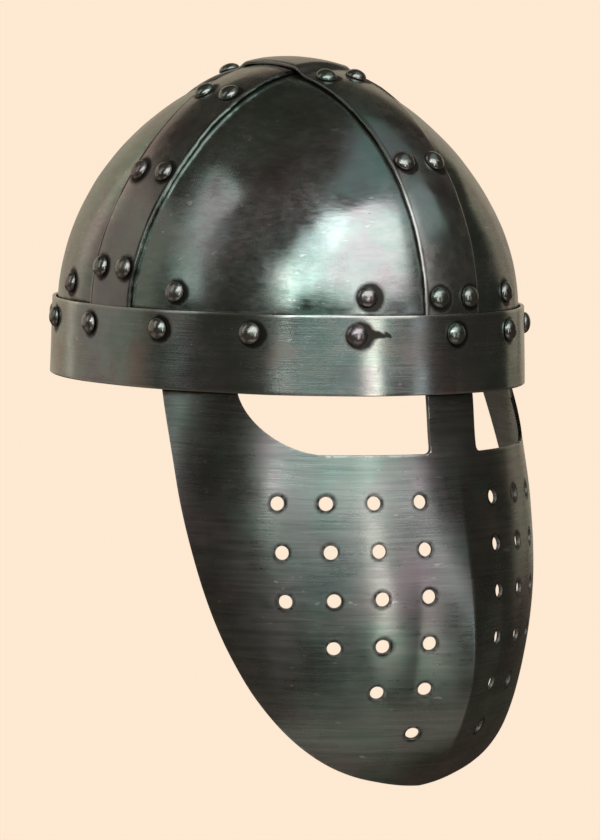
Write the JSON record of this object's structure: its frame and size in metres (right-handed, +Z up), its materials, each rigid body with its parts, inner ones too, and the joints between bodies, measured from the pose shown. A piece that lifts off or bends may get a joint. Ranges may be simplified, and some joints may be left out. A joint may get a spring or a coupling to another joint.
{
  "type": "spangenhelm helmet",
  "caption": "Riveted steel helmet: brow band, crossed strips over a domed crown of infill plates, and a keeled face plate with eye openings and breathing holes.",
  "frame": {"origin": "centre of the brow band's oval, in the plane of its lower edge, which is where the helmet sits on a head", "axes": "+Z up, the face looks along -Y, +X is the wearer's left"},
  "size_m": [0.1997, 0.2484, 0.3155],
  "materials": {
    "steel": "blackened, brushed and oiled, with tarnish and light wear on the edges",
    "rivet_steel": "blackened domed heads worn bright on top"
  },
  "bodies": {
    "root": {"brow_band": "steel", "front_back_strip": "steel", "side_to_side_strip": "steel", "plate_front_right": "steel", "plate_front_left": "steel", "plate_back_right": "steel", "plate_back_left": "steel", "face_plate": "steel", "rivet_front_strip_1a": "rivet_steel", "rivet_front_strip_1b": "rivet_steel", "rivet_front_strip_2a": "rivet_steel", "rivet_front_strip_2b": "rivet_steel", "rivet_front_strip_3a": "rivet_steel", "rivet_front_strip_3b": "rivet_steel", "rivet_back_strip_1a": "rivet_steel", "rivet_back_strip_1b": "rivet_steel", "rivet_back_strip_2a": "rivet_steel", "rivet_back_strip_2b": "rivet_steel", "rivet_back_strip_3a": "rivet_steel", "rivet_back_strip_3b": "rivet_steel", "rivet_right_strip_1a": "rivet_steel", "rivet_right_strip_1b": "rivet_steel", "rivet_right_strip_2a": "rivet_steel", "rivet_right_strip_2b": "rivet_steel", "rivet_right_strip_3a": "rivet_steel", "rivet_right_strip_3b": "rivet_steel", "rivet_left_strip_1a": "rivet_steel", "rivet_left_strip_1b": "rivet_steel", "rivet_left_strip_2a": "rivet_steel", "rivet_left_strip_2b": "rivet_steel", "rivet_left_strip_3a": "rivet_steel", "rivet_left_strip_3b": "rivet_steel", "rivet_plate_front_right_1": "rivet_steel", "rivet_plate_front_right_2": "rivet_steel", "rivet_plate_front_left_1": "rivet_steel", "rivet_plate_front_left_2": "rivet_steel", "rivet_plate_back_right_1": "rivet_steel", "rivet_plate_back_right_2": "rivet_steel", "rivet_plate_back_left_1": "rivet_steel", "rivet_plate_back_left_2": "rivet_steel", "rivet_band_1": "rivet_steel", "rivet_band_2": "rivet_steel", "rivet_band_3": "rivet_steel", "rivet_band_4": "rivet_steel", "rivet_band_5": "rivet_steel", "rivet_band_6": "rivet_steel", "rivet_band_7": "rivet_steel", "rivet_band_8": "rivet_steel", "rivet_band_9": "rivet_steel", "rivet_band_10": "rivet_steel", "rivet_band_11": "rivet_steel", "rivet_band_12": "rivet_steel", "rivet_band_13": "rivet_steel", "rivet_band_14": "rivet_steel", "rivet_band_15": "rivet_steel"}
  },
  "joints": []
}
